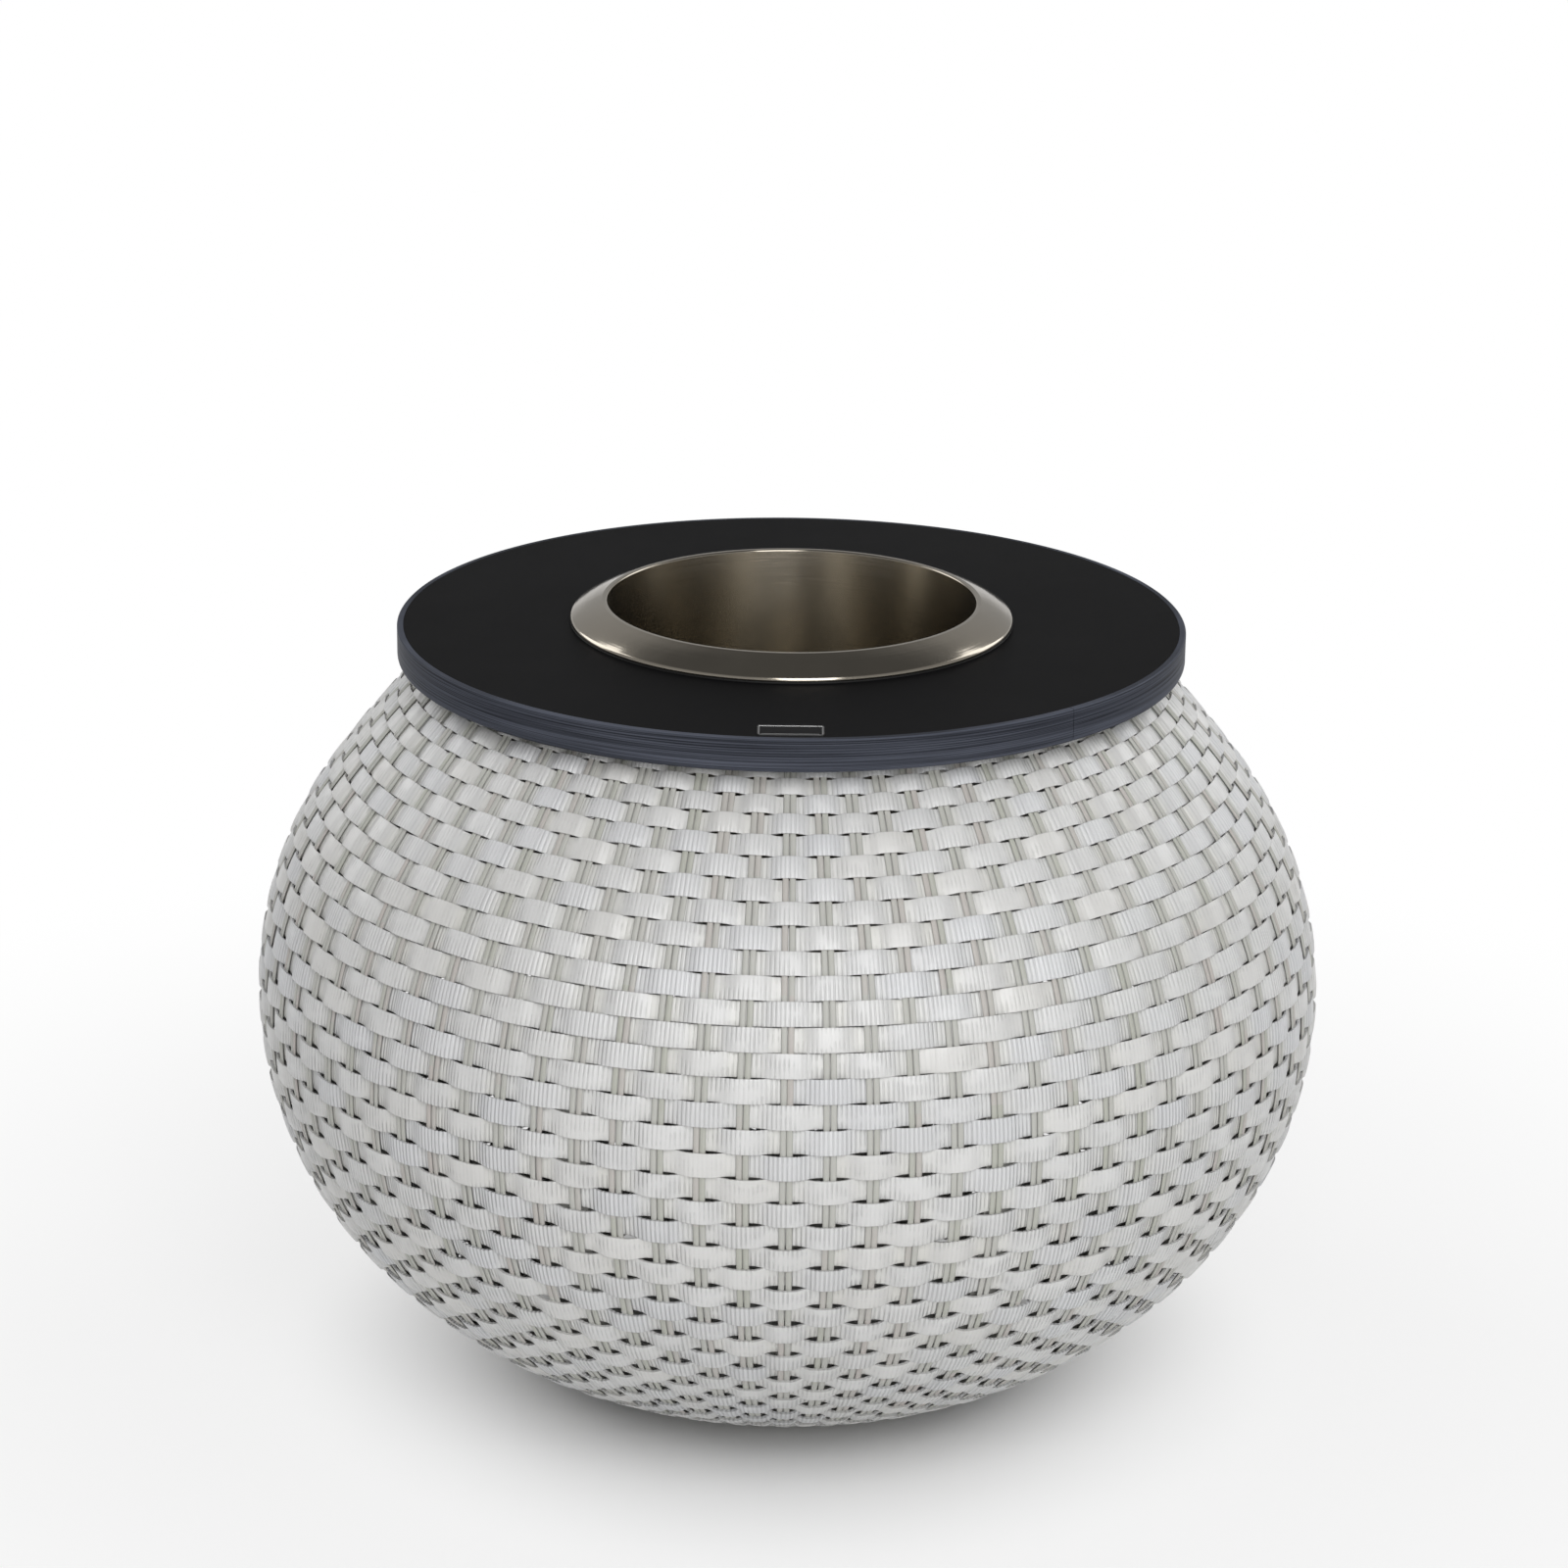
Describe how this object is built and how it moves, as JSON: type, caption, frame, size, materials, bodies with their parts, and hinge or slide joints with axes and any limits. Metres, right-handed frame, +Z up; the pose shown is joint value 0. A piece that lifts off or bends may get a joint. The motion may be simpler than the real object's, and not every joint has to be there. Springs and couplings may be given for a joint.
{
  "type": "ice bucket coffee table",
  "caption": "Low round side table with a ball-shaped woven base, a black disc top and a lift-out steel ice bucket set in the middle.",
  "frame": {"origin": "centre of the base on the floor, under the middle of the feet", "axes": "+Z up through the bucket's mouth, -Y to the front where the name plate is, +X to the right seen from the front"},
  "size_m": [0.521, 0.5208, 0.3904],
  "materials": {
    "board": "satin black compact laminate",
    "edging": "satin blue-black edging with fine lengthwise streaks",
    "plate": "bare black plate with a thin engraved border",
    "strip": "off-white woven resin strip with fine cross ribs",
    "stake": "warm grey resin strip",
    "frame": "light grey powder-coated aluminium",
    "polished_steel": "polished stainless steel",
    "gasket": "matt black silicone",
    "fixing": "stainless steel",
    "brass_insert": "turned brass",
    "glide": "dark grey moulded plastic"
  },
  "bodies": {
    "table": {"table_top": "board", "edge_band": "edging", "name_plate": "plate", "top_ring": "frame", "top_inserts": "brass_insert", "top_washers": "fixing", "top_screws": "fixing", "upper_hoop": "frame", "waist_hoop": "frame", "lower_hoop": "frame", "rib_1": "frame", "rib_2": "frame", "rib_3": "frame", "rib_4": "frame", "rib_5": "frame", "rib_6": "frame", "rib_7": "frame", "rib_8": "frame", "base_ring": "frame", "base_binding": "strip", "warp_stakes": "stake", "woven_shell": "strip", "foot_1": "glide", "foot_2": "glide", "foot_3": "glide", "foot_4": "glide", "foot_screws": "fixing"},
    "bucket": {"ice_bucket": "polished_steel", "bucket_gasket": "gasket"}
  },
  "joints": [
    {"name": "bucket_lift", "type": "slide", "parent": "table", "child": "bucket", "axis": [0, 0, 1], "range_m": [0, 0.2]}
  ]
}
